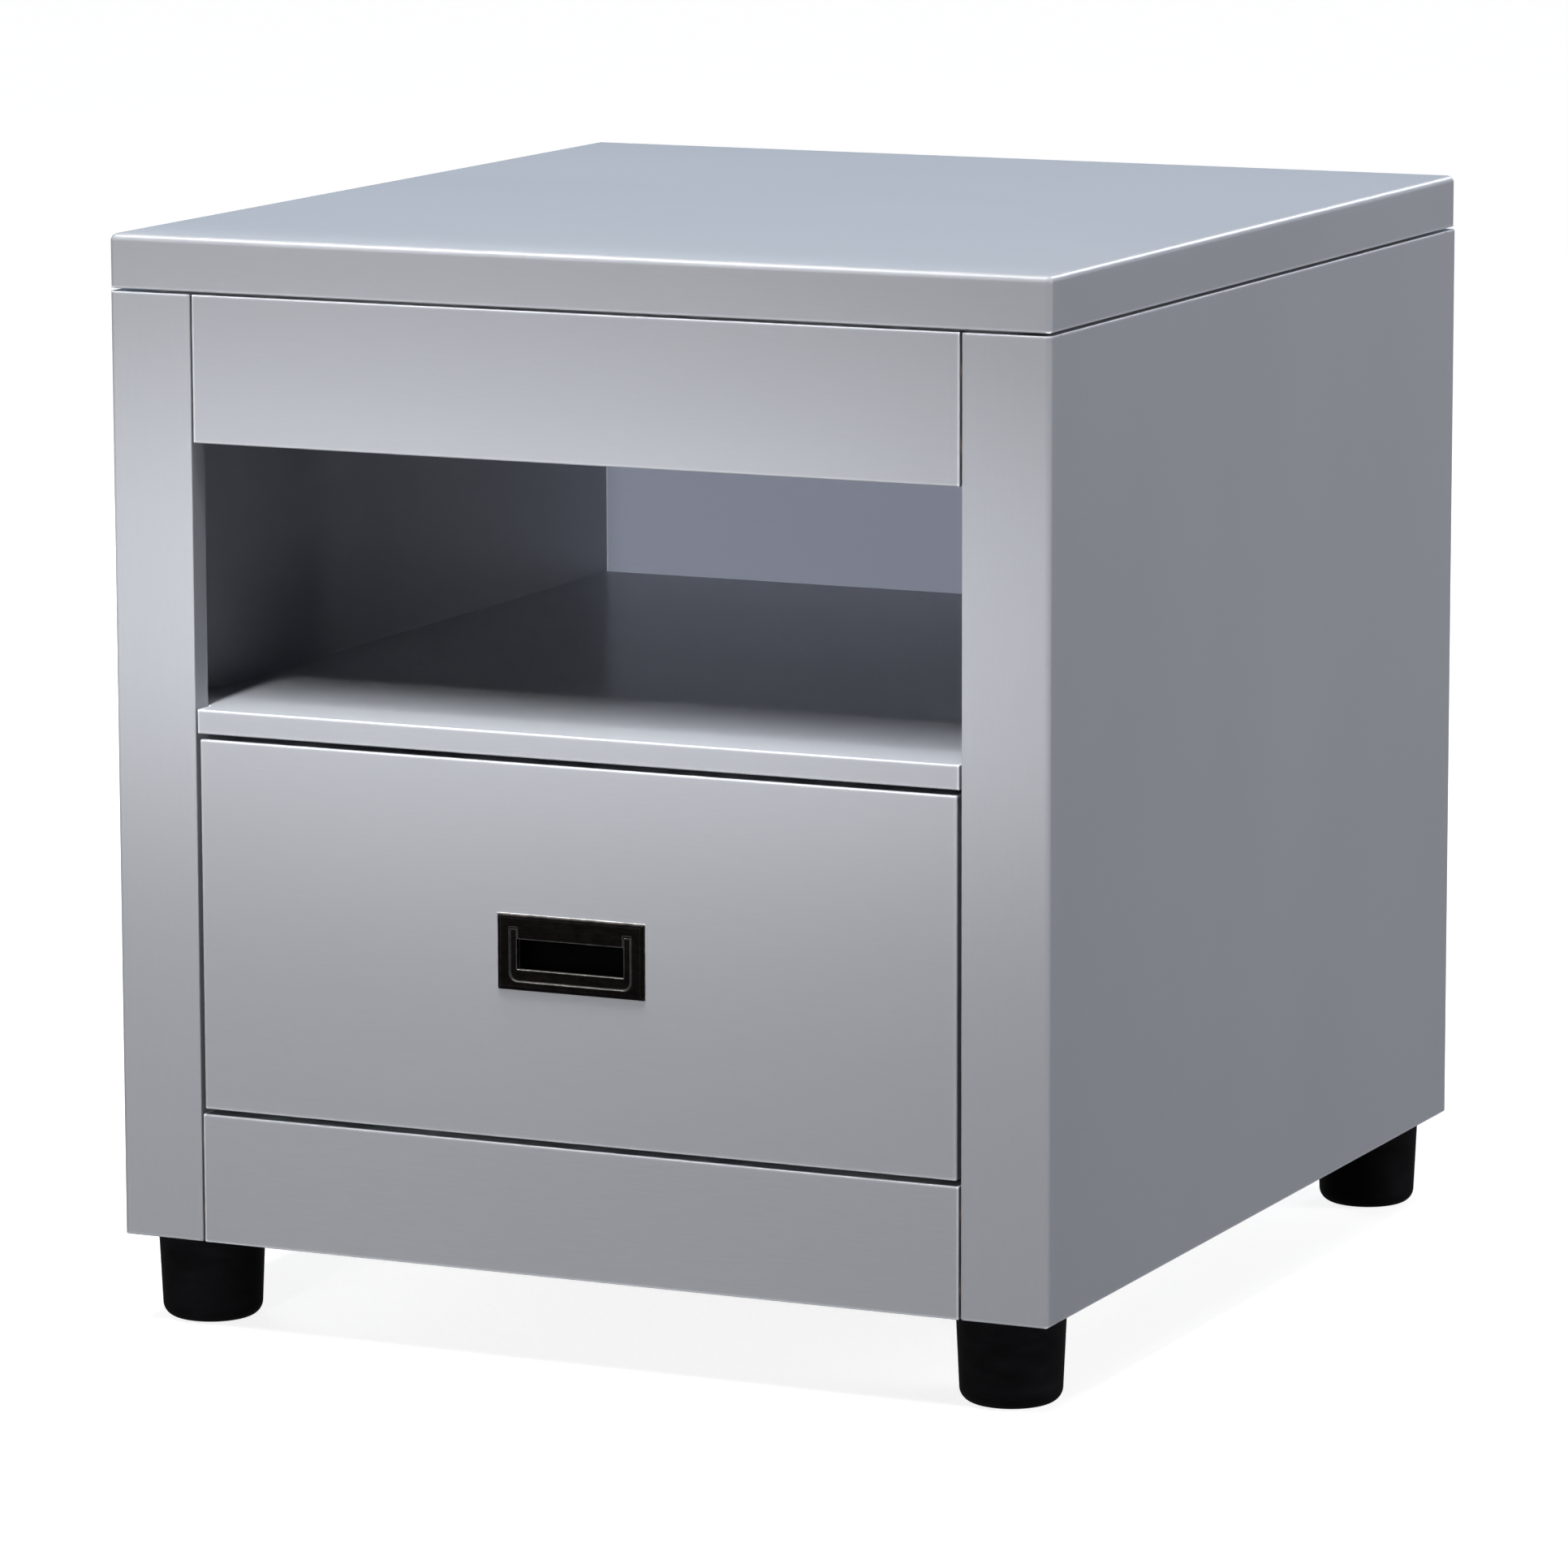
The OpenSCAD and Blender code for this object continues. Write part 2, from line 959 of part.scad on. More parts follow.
module drawer_bottom() {
    reach = groove_depth - 2 * groove_gap;
    color(PLYWOOD)
        block([-box_x + box_t - reach, box_y + box_t - reach, groove_z],
            [box_x - box_t + reach, box_rear_y - box_t + reach, groove_z + box_bottom_t]);
}

module drawer_dowels() {
    color(BEECH)
        both_sides()
            box_corner_dowels(0, 0);
}

module drawer_front_screws() {
    color(STEEL)
        for (p = box_screw_places)
            translate(p)
                enter_front()
                    pan_screw(box_screw_l);
}

// ---- Pull ----

// The bail's outline from the front, made larger all round by grow
module bail_outline(grow) {
    outer_r = bail_corner_r + grow;
    half_w = bail_w / 2 + grow;
    low = bar_low_z - grow;
    inner_x = recess_x - grow;
    difference() {
        union() {
            translate([-half_w, low + outer_r])
                square([2 * half_w, pivot_z - low - outer_r]);
            translate([-half_w + outer_r, low])
                square([2 * (half_w - outer_r), outer_r]);
            for (s = [-1, 1])
                translate([s * (half_w - outer_r), low + outer_r])
                    circle(outer_r);
        }
        translate([-inner_x, low + bar_h + 2 * grow])
            square([2 * inner_x, plate_h]);
    }
}

// Draws an outline in the front's plane, from one depth to another
module from_front(y_low, y_high) {
    translate([0, y_high, 0])
        rotate([90, 0, 0])
            linear_extrude(y_high - y_low)
                children();
}

// The plate's rim: a slab whose four front edges are bevelled
module plate_rim() {
    half_w = plate_w / 2;
    half_h = plate_h / 2;
    intersection() {
        translate([0, 0, -half_h])
            linear_extrude(plate_h)
                polygon([
                    [-half_w, 0], [-half_w, -bevel_foot], [bevel_w - half_w, -plate_proud],
                    [half_w - bevel_w, -plate_proud], [half_w, -bevel_foot], [half_w, 0]
                ]);
        translate([-half_w, 0, 0])
            rotate([90, 0, 90])
                linear_extrude(plate_w)
                    polygon([
                        [0, -half_h], [-bevel_foot, -half_h], [-plate_proud, bevel_w - half_h],
                        [-plate_proud, half_h - bevel_w], [-bevel_foot, half_h], [0, half_h]
                    ]);
    }
}

module pull_plate() {
    color(BRONZE)
        difference() {
            translate([0, front_y, pull_z])
                difference() {
                    union() {
                        plate_rim();
                        block([-cup_x, -bevel_foot, cup_low_z], [cup_x, cup_y, cup_high_z]);
                    }
                    from_front(-plate_proud - 1, groove_floor_y) {
                        bail_outline(bail_gap);
                        for (s = [-1, 1])
                            translate([s * (recess_x + arm_w / 2), pivot_z])
                                square([arm_w + 2 * bail_gap, bail_t + 2 * bail_gap], center = true);
                    }
                    block([-recess_x, -plate_proud - 1, bar_low_z + bar_h - finger_room],
                        [recess_x, recess_y, recess_top_z]);
                    both_sides()
                        translate([bail_w / 2, bail_y, pivot_z])
                            enter_right()
                                cylinder(h = pin_end_x + end_gap - bail_w / 2, r = pin_r + fit);
                }
            pull_screw_places()
                pan_screw_hole(pull_screw_l);
        }
}

module pull_bail() {
    color(BRONZE)
        translate([0, front_y, pull_z]) {
            from_front(bail_face, bail_face + bail_t)
                bail_outline(0);
            both_sides() {
                translate([recess_x, bail_y, pivot_z])
                    enter_right()
                        cylinder(h = arm_w, r = bail_t / 2);
                translate([recess_x + 1, bail_y, pivot_z])
                    enter_right()
                        cylinder(h = pin_end_x - recess_x - 1, r = pin_r);
            }
        }
}

module pull_screws() {
    color(STEEL)
        pull_screw_places()
            pan_screw(pull_screw_l - 1);
}

top_panel();
sub_top();
left_side_panel();
right_side_panel();
back_panel();
rear_upper_rail();
rear_lower_rail();
left_stile();
right_stile();
upper_front_rail();
lower_front_rail();
shelf_panel();
bottom_panel();
left_packing_batten();
right_packing_batten();
front_left_foot();
front_right_foot();
rear_left_foot();
rear_right_foot();
foot_studs();
foot_inserts();
case_dowels();
top_screws();
back_screws();
batten_screws();
left_cabinet_member();
right_cabinet_member();
cabinet_member_screws();
left_intermediate_member();
right_intermediate_member();
left_outer_retainer();
right_outer_retainer();
left_inner_retainer();
right_inner_retainer();
left_outer_balls();
right_outer_balls();
left_inner_balls();
right_inner_balls();
left_drawer_member();
right_drawer_member();
drawer_member_screws();
drawer_front();
drawer_box_front();
drawer_left_side();
drawer_right_side();
drawer_back();
drawer_bottom();
drawer_dowels();
drawer_front_screws();
pull_plate();
pull_bail();
pull_screws();
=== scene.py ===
import json
import math

import bmesh
import bpy
from mathutils import Matrix, Vector


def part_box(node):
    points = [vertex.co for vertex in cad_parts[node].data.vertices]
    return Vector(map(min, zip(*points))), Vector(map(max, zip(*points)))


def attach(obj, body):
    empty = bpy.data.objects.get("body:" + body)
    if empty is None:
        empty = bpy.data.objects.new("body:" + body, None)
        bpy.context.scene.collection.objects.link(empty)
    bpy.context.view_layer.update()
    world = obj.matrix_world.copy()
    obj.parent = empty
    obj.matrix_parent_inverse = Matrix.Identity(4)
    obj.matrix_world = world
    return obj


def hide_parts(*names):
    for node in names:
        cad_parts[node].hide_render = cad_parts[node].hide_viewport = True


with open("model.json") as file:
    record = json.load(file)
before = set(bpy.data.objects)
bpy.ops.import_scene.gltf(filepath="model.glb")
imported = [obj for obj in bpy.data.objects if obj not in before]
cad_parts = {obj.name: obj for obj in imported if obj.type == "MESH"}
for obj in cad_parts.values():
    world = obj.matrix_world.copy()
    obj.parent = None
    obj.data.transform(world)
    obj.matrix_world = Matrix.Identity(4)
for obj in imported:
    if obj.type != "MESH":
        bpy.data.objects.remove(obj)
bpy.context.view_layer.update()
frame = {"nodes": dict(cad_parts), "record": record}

# Looks of a lacquered side table with an open cubby and one drawer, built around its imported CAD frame.
# Everything is in metres in the CAD frame: X to the right, Y to the back, Z up. Radii and gaps of the
# detail that only the looks have are given in millimetres, times MM.

MM = 0.001
BODY_OF = {
    node: body
    for body, nodes in frame["record"]["behaviour"]["bodies"].items()
    for node in nodes
}
AXES = {"x": 0, "y": 1, "z": 2}
SIDES = (("left", "right"), ("front", "back"), ("bottom", "top"))

# ---- Shader helpers ----


def new_material(name):
    material = bpy.data.materials.new(name)
    material.use_nodes = True
    tree = material.node_tree
    return material, tree, tree.nodes["Principled BSDF"]


def add_node(tree, kind, values=None, **settings):
    """Adds a node. Each value is a number or colour for that input, or another node's output."""
    node = tree.nodes.new(kind)
    for name, value in settings.items():
        setattr(node, name, value)
    for socket, value in (values or {}).items():
        if isinstance(value, bpy.types.NodeSocket):
            tree.links.new(value, node.inputs[socket])
        else:
            node.inputs[socket].default_value = value
    return node


def place(tree):
    return add_node(tree, "ShaderNodeTexCoord").outputs["Object"]


def part_of(tree, kind, axis):
    """The part along an axis of a point's place, kind Object, or of its normal, kind Normal."""
    whole = add_node(tree, "ShaderNodeTexCoord").outputs[kind]
    return add_node(tree, "ShaderNodeSeparateXYZ", {0: whole}).outputs[AXES[axis]]


def noise(tree, scale, detail=3.0, roughness=0.5, distortion=0.0):
    """Noise with scale features a metre along X, Y and Z."""
    spot = add_node(tree, "ShaderNodeMapping", {"Vector": place(tree), "Scale": scale})
    values = {
        "Vector": spot.outputs["Vector"],
        "Scale": 1.0,
        "Detail": detail,
        "Roughness": roughness,
        "Distortion": distortion,
    }
    return add_node(tree, "ShaderNodeTexNoise", values).outputs["Fac"]


def math_node(tree, operation, a, b=0.0):
    return add_node(tree, "ShaderNodeMath", {0: a, 1: b}, operation=operation).outputs[0]


def add(tree, a, b):
    return math_node(tree, "ADD", a, b)


def times(tree, a, b):
    return math_node(tree, "MULTIPLY", a, b)


def remap(tree, value, low, high, to_low, to_high):
    values = {
        "Value": value,
        "From Min": low,
        "From Max": high,
        "To Min": to_low,
        "To Max": to_high,
    }
    return add_node(tree, "ShaderNodeMapRange", values).outputs["Result"]


def mix(tree, factor, a, b):
    """A colour between a, at factor 0, and b, at factor 1."""
    colours = [c if isinstance(c, bpy.types.NodeSocket) else (*c, 1.0) for c in (a, b)]
    values = {0: factor, 6: colours[0], 7: colours[1]}
    return add_node(tree, "ShaderNodeMix", values, data_type="RGBA").outputs[2]


def bump(tree, shader, height, distance, strength):
    values = {"Height": height, "Distance": distance, "Strength": strength}
    node = add_node(tree, "ShaderNodeBump", values)
    tree.links.new(node.outputs["Normal"], shader.inputs["Normal"])


def edge_mask(tree, reach):
    """1 on a convex edge, falling to 0 at about reach from it."""
    inside = add_node(
        tree, "ShaderNodeAmbientOcclusion", {"Distance": reach}, samples=8, inside=True, only_local=True
    )
    return remap(tree, inside.outputs["AO"], 0.95, 0.45, 0.0, 1.0)


def along(axis, lengthwise, across):
    """Noise scale for a grain that runs along an axis."""
    scale = [across] * 3
    scale[AXES[axis]] = lengthwise
    return scale


# ---- Materials ----

LACQUER = Vector((0.311, 0.325, 0.350))
# Painted light: a bluer, lighter copy of the lacquer for the back panel's face in the cubby, standing in
# for the bluish light there.
CUBBY_BACK_PAINTED_LIGHT = Vector((0.315, 0.348, 0.432))
STREAKS = 0.045  # how much darker and lighter than the paint its streaks are
# EDGE_REACH and the gain below set the painted edge highlight: how far from an edge it reaches, and how
# much paler than the lacquer it is.
EDGE_REACH = 1.7 * MM
PAINTED_HIGHLIGHT_GAIN = 2.6
JOINT_REACH = 2 * MM


def streaked(tree, tone, paint):
    return mix(tree, tone, paint * (1 - STREAKS), paint * (1 + STREAKS))


def away_from(tree, axis, joint):
    """0 near a joint's place on an axis, on both sides of the table, and 1 elsewhere."""
    outwards = math_node(tree, "ABSOLUTE", part_of(tree, "Object", axis))
    off = math_node(tree, "ABSOLUTE", math_node(tree, "SUBTRACT", outwards, abs(joint)))
    return math_node(tree, "GREATER_THAN", off, JOINT_REACH)


def lacquer(name, axis, grain=1.0, front_paint=LACQUER, joints=()):
    """Satin grey-blue lacquer over a fine grain along an axis, with a painted highlight that makes its
    eased edges paler.
    A second colour can be given for the faces that look to the front. joints are the places on an axis
    where two boards meet closely, without the painted edge highlight."""
    material, tree, shader = new_material(name)
    fine = noise(tree, along(axis, 45, 620), detail=4, roughness=0.65)
    broad = noise(tree, along(axis, 2.2, 7), detail=2)
    tone = remap(tree, fine, 0.25, 0.75, -grain, grain)
    tone = add(tree, tone, remap(tree, broad, 0.3, 0.7, -1.2, 1.2))
    tone = remap(tree, tone, -3, 3, 0, 1)
    painted = streaked(tree, tone, LACQUER)
    # Painted light: faces that look to the front may take a lighter, bluer copy of the lacquer.
    if front_paint is not LACQUER:
        in_front = math_node(tree, "LESS_THAN", part_of(tree, "Normal", "y"), -0.5)
        painted = mix(tree, in_front, painted, streaked(tree, tone, front_paint))
    # Painted highlight: eased edges are mixed toward a far paler colour, as though they caught the light.
    # Joints are left without it.
    eased = times(tree, edge_mask(tree, EDGE_REACH), 0.9)
    for joint in joints:
        eased = times(tree, eased, away_from(tree, *joint))
    tree.links.new(mix(tree, eased, painted, LACQUER * PAINTED_HIGHLIGHT_GAIN), shader.inputs["Base Color"])
    sheen = remap(tree, broad, 0.3, 0.7, 0.42, 0.48)
    sheen = add(tree, sheen, remap(tree, fine, 0.3, 0.7, 0, 0.03))
    tree.links.new(sheen, shader.inputs["Roughness"])
    peel = noise(tree, (420, 420, 420), detail=1)
    height = add(tree, times(tree, fine, 0.6 * grain), times(tree, peel, 0.4))
    bump(tree, shader, height, 0.03 * MM, 0.35)
    shader.inputs["IOR"].default_value = 1.48
    shader.inputs["Specular IOR Level"].default_value = 0.3
    shader.inputs["Coat Weight"].default_value = 0.35
    shader.inputs["Coat Roughness"].default_value = 0.2
    return material


def wood_grain(tree, axis, light, dark, pores):
    """Long soft bands of colour with short darker pores."""
    bands = noise(tree, along(axis, 1.6, 38), detail=4, roughness=0.55, distortion=0.6)
    flecks = noise(tree, along(axis, 70, 1400), detail=2)
    colour = mix(tree, remap(tree, bands, 0.32, 0.68, 0, 1), light, dark)
    flecks = times(tree, remap(tree, flecks, 0.58, 0.75, 0, 1), pores)
    return mix(tree, flecks, colour, dark * 0.62), bands, flecks


BIRCH_LIGHT = Vector((0.66, 0.50, 0.33))
BIRCH_DARK = Vector((0.55, 0.39, 0.235))
PLY_CROSS = Vector((0.36, 0.235, 0.13))
PLY_LAYERS = 9


def plywood(name, axis, across, node):
    """Birch plywood whose layers show on its edges; across is the axis of its thickness."""
    material, tree, shader = new_material(name)
    face, bands, flecks = wood_grain(tree, axis, BIRCH_LIGHT, BIRCH_DARK, 0.35)
    low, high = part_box(node)
    i = AXES[across]
    layer = (high[i] - low[i]) / PLY_LAYERS
    depth = math_node(tree, "SUBTRACT", part_of(tree, "Object", across), low[i])
    wave = math_node(tree, "SINE", times(tree, math_node(tree, "DIVIDE", depth, layer), math.pi))
    end_grain = noise(tree, (900, 900, 900), detail=3)
    wave = add(tree, wave, remap(tree, end_grain, 0.3, 0.7, -0.35, 0.35))
    layers = mix(tree, remap(tree, wave, -0.25, 0.25, 0, 1), PLY_CROSS, BIRCH_LIGHT)
    facing = math_node(tree, "ABSOLUTE", part_of(tree, "Normal", across))
    on_face = math_node(tree, "GREATER_THAN", facing, 0.9)
    tree.links.new(mix(tree, on_face, layers, face), shader.inputs["Base Color"])
    tree.links.new(remap(tree, bands, 0.3, 0.7, 0.42, 0.52), shader.inputs["Roughness"])
    bump(tree, shader, flecks, -0.08 * MM, 0.4)
    return material


def beech(name, axis):
    """Raw beech with its short brown rays."""
    material, tree, shader = new_material(name)
    light, dark = Vector((0.56, 0.36, 0.20)), Vector((0.47, 0.28, 0.15))
    colour, bands, flecks = wood_grain(tree, axis, light, dark, 0.7)
    tree.links.new(colour, shader.inputs["Base Color"])
    tree.links.new(remap(tree, bands, 0.3, 0.7, 0.6, 0.72), shader.inputs["Roughness"])
    bump(tree, shader, flecks, -0.1 * MM, 0.5)
    return material


def plated_steel(name, tint, rough, axis):
    """Zinc-plated steel with rolling marks along an axis, worn brighter on its edges."""
    material, tree, shader = new_material(name)
    marks = noise(tree, along(axis, 25, 1800), detail=3)
    cloud = noise(tree, (60, 60, 60), detail=3, distortion=0.4)
    tone = add(tree, remap(tree, marks, 0.3, 0.7, 0, 0.5), remap(tree, cloud, 0.3, 0.7, 0, 0.5))
    colour = mix(tree, tone, tint * 0.86, tint * 1.08)
    brightened = times(tree, edge_mask(tree, 0.5 * MM), 0.5)
    colour = mix(tree, brightened, colour, (0.8, 0.8, 0.8))
    tree.links.new(colour, shader.inputs["Base Color"])
    tree.links.new(remap(tree, tone, 0, 1, rough - 0.06, rough + 0.08), shader.inputs["Roughness"])
    bump(tree, shader, marks, 0.01 * MM, 0.3)
    shader.inputs["Metallic"].default_value = 1.0
    return material


def ball_steel():
    """Polished bearing steel with a faint film of grease."""
    material, tree, shader = new_material("bearing_steel")
    film = noise(tree, (500, 500, 500), detail=2)
    grey = mix(tree, remap(tree, film, 0.35, 0.65, 0, 1), (0.60, 0.58, 0.54), (0.76, 0.76, 0.77))
    tree.links.new(grey, shader.inputs["Base Color"])
    tree.links.new(remap(tree, film, 0.35, 0.65, 0.2, 0.08), shader.inputs["Roughness"])
    shader.inputs["Metallic"].default_value = 1.0
    return material


def antique_metal():
    """Dark plating, brushed and mottled, worn through to bright metal on its edges. Faces that look up are
    paler, a painted highlight, and its cup is near black, painted shade.
    """
    material, tree, shader = new_material("antique_plating")
    brushed = noise(tree, (90, 900, 1500), detail=4, roughness=0.6)
    mottled = noise(tree, (140, 140, 220), detail=4, roughness=0.6, distortion=0.5)
    tone = add(tree, remap(tree, brushed, 0.3, 0.7, 0, 0.4), remap(tree, mottled, 0.3, 0.7, 0, 0.6))
    dark = mix(tree, tone, (0.018, 0.016, 0.0155), (0.050, 0.041, 0.038))
    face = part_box("pull_plate")[0].y
    # Painted shade: the cup behind the bail is made near black, though the lamps light it.
    painted_cup_shade = remap(tree, part_of(tree, "Object", "y"), face + 2.5 * MM, face + 6 * MM, 0, 1)
    dark = mix(tree, painted_cup_shade, dark, (0.013, 0.012, 0.013))
    # The edges are worn through to bright metal.
    brightened = times(tree, edge_mask(tree, 0.6 * MM), remap(tree, mottled, 0.3, 0.62, 0.6, 1.4))
    # Painted highlight: faces that look up are mixed toward bright metal, as if lit from above, and then
    # joined with the worn edges.
    painted_top_highlight = remap(tree, part_of(tree, "Normal", "z"), 0.3, 0.7, 0, 0.5)
    painted_top_highlight = times(tree, painted_top_highlight, remap(tree, mottled, 0.3, 0.65, 0.4, 1.2))
    brightened = math_node(tree, "MAXIMUM", brightened, painted_top_highlight)
    tree.links.new(mix(tree, brightened, dark, (0.95, 0.92, 0.89)), shader.inputs["Base Color"])
    rough = mix(tree, brightened, (0.44, 0.44, 0.44), (0.24, 0.24, 0.24))
    rough = add(tree, rough, remap(tree, tone, 0, 1, -0.05, 0.08))
    tree.links.new(rough, shader.inputs["Roughness"])
    bump(tree, shader, tone, 0.02 * MM, 0.5)
    shader.inputs["Metallic"].default_value = 1.0
    return material


def foot_plastic():
    """Satin black moulded plastic with a fine spark-eroded grain."""
    material, tree, shader = new_material("foot_plastic")
    grain = noise(tree, (1500, 1500, 1500), detail=2)
    scuffs = noise(tree, (45, 45, 120), detail=4, roughness=0.6)
    black = mix(tree, remap(tree, scuffs, 0.35, 0.75, 0, 1), (0.0035, 0.0035, 0.004), (0.007, 0.007, 0.008))
    tree.links.new(black, shader.inputs["Base Color"])
    tree.links.new(remap(tree, scuffs, 0.35, 0.7, 0.42, 0.55), shader.inputs["Roughness"])
    bump(tree, shader, grain, 0.03 * MM, 0.3)
    shader.inputs["Specular IOR Level"].default_value = 0.06
    return material


LACQUERED = {axis: lacquer(f"lacquer_{axis}", axis) for axis in "xy"}
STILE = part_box("right_stile")
LACQUERED["z"] = lacquer("lacquer_z", "z", joints=(("y", STILE[1].y), ("x", STILE[0].x)))
LACQUERED["rail"] = lacquer("lacquer_open_grain", "x", grain=1.7)
# The back panel's face in the cubby takes the bluer copy of the lacquer, painted light.
LACQUERED["back"] = lacquer("lacquer_back", "x", grain=0.6, front_paint=CUBBY_BACK_PAINTED_LIGHT)
BEECH = {axis: beech(f"beech_{axis}", axis) for axis in "xy"}
SLIDE_STEEL = plated_steel("slide_zinc", Vector((0.56, 0.57, 0.59)), 0.3, "y")
SCREW_STEEL = plated_steel("screw_zinc", Vector((0.52, 0.52, 0.53)), 0.34, "z")
BALL_STEEL = ball_steel()
ANTIQUE = antique_metal()
FOOT_BLACK = foot_plastic()

# ---- Piece helpers ----


def new_piece(name, bm, material, slot, *nodes):
    """Makes a piece that stands for CAD nodes of one body, and rides on it."""
    mesh = bpy.data.meshes.new(name)
    bm.normal_update()
    bm.to_mesh(mesh)
    bm.free()
    mesh.materials.append(material)
    piece = bpy.data.objects.new(name, mesh)
    bpy.context.scene.collection.objects.link(piece)
    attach(piece, BODY_OF[nodes[0]])
    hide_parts(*nodes)
    return piece


def cad_copy(node):
    """A CAD node's mesh as few flat faces instead of triangles."""
    bm = bmesh.new()
    bm.from_mesh(frame["nodes"][node].data)
    bmesh.ops.remove_doubles(bm, verts=bm.verts, dist=0.001 * MM)
    bmesh.ops.dissolve_limit(bm, angle_limit=math.radians(0.4), verts=bm.verts, edges=bm.edges)
    return bm


def box_mesh(low, high):
    bm = bmesh.new()
    size = high - low
    matrix = Matrix.Translation((low + high) / 2) @ Matrix.Diagonal((*size, 1))
    bmesh.ops.create_cube(bm, size=1, matrix=matrix)
    return bm


def prism(outline, low_z, high_z):
    """A slab between two heights with a flat outline, given anticlockwise as seen from above."""
    bm = bmesh.new()
    rings = [[bm.verts.new((x, y, z)) for x, y in outline] for z in (low_z, high_z)]
    bm.faces.new(rings[0][::-1])
    bm.faces.new(rings[1])
    for i in range(len(outline)):
        j = (i + 1) % len(outline)
        bm.faces.new((rings[0][i], rings[0][j], rings[1][j], rings[1][i]))
    return bm


def side_of(face):
    """Which way a face looks, such as front, or none where it is slanted."""
    for axis, names in enumerate(SIDES):
        if abs(face.normal[axis]) > 0.99:
            return names[face.normal[axis] > 0]
    return "none"


def weigh_edges(bm, radii, low, high):
    """Gives the outer edges between two sides their rounding, and marks the other sharp edges."""
    bm.normal_update()
    table = {frozenset(key.split()): r for key, r in radii.items()}
    usual = radii["edges"]
    widest = max(radii.values())
    weight = bm.edges.layers.float.new("bevel_weight_edge")

    def outside(point):
        return any(min(abs(point[i] - low[i]), abs(point[i] - high[i])) < 0.02 * MM for i in range(3))

    for face in bm.faces:
        face.smooth = True
    for edge in bm.edges:
        if len(edge.link_faces) != 2 or edge.calc_face_angle(0) < math.radians(30):
            continue
        sides = frozenset(side_of(face) for face in edge.link_faces)
        eased = len(sides) == 2 and "none" not in sides and edge.is_convex
        if eased and all(outside(v.co) for v in edge.verts) and edge.calc_length() > 12 * MM:
            edge[weight] = table.get(sides, usual) / widest
        if edge[weight] == 0:
            edge.smooth = False
    return widest


def flatten_shading(piece):
    """Keeps flat faces flat in the shading, so that only their rounded edges curve."""
    shading = piece.modifiers.new("shading", "WEIGHTED_NORMAL")
    shading.keep_sharp = True
    shading.weight = 100


def board(node, material, radii=None, cut=False, trim=0.0, bm=None, slot="lacquered_panel", segments=4):
    """A board with eased edges. radii are in millimetres, as edges, the usual one, and as pairs of sides.
    cut keeps the CAD node's holes and grooves; trim takes that much off its left and right ends."""
    low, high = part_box(node)
    low, high = low + Vector((trim, 0, 0)), high - Vector((trim, 0, 0))
    if bm is None:
        bm = cad_copy(node) if cut else box_mesh(low, high)
    widest = weigh_edges(bm, radii or {"edges": 0.6}, low, high)
    piece = new_piece(f"{node}_board", bm, material, slot, node)
    arris = piece.modifiers.new("arris", "BEVEL")
    arris.limit_method = "WEIGHT"
    arris.width = widest * MM
    arris.segments = segments
    arris.use_clamp_overlap = False
    flatten_shading(piece)
    return piece


def refined(node, material, slot, radius, segments=2, angle=35):
    """A CAD node's own shape with its sharp edges rounded."""
    bm = cad_copy(node)
    for face in bm.faces:
        face.smooth = True
    for edge in bm.edges:
        if edge.calc_face_angle(0) > math.radians(angle):
            edge.smooth = False
    piece = new_piece(f"{node}_part", bm, material, slot, node)
    arris = piece.modifiers.new("arris", "BEVEL")
    arris.limit_method = "ANGLE"
    arris.angle_limit = math.radians(angle)
    arris.width = radius
    arris.segments = segments
    flatten_shading(piece)
    return piece


def arc(x, y, r, start, end, steps):
    """Points on an arc round (x, y), from one angle in degrees to another."""
    angles = [math.radians(start + (end - start) * i / steps) for i in range(steps + 1)]
    return [(x + r * math.cos(a), y + r * math.sin(a)) for a in angles]


def lathe(bm, profile, steps, matrix=Matrix.Identity(4)):
    """Turns (radius, height) points round Z. The first and the last are on the axis."""
    rings = []
    for r, z in profile:
        if r == 0:
            rings.append([bm.verts.new(matrix @ Vector((0, 0, z)))])
            continue
        turn = [2 * math.pi * i / steps for i in range(steps)]
        rings.append([bm.verts.new(matrix @ Vector((r * math.cos(a), r * math.sin(a), z))) for a in turn])
    for below, above in zip(rings, rings[1:]):
        for i in range(steps):
            j = (i + 1) % steps
            around = ((below, i), (below, j), (above, j), (above, i))
            corners = [ring[k % len(ring)] for ring, k in around]
            bm.faces.new(list(dict.fromkeys(corners)))
    return rings


# ---- Case ----

GROOVE = 1.3 * MM  # width of the fine line between a rail and a stile


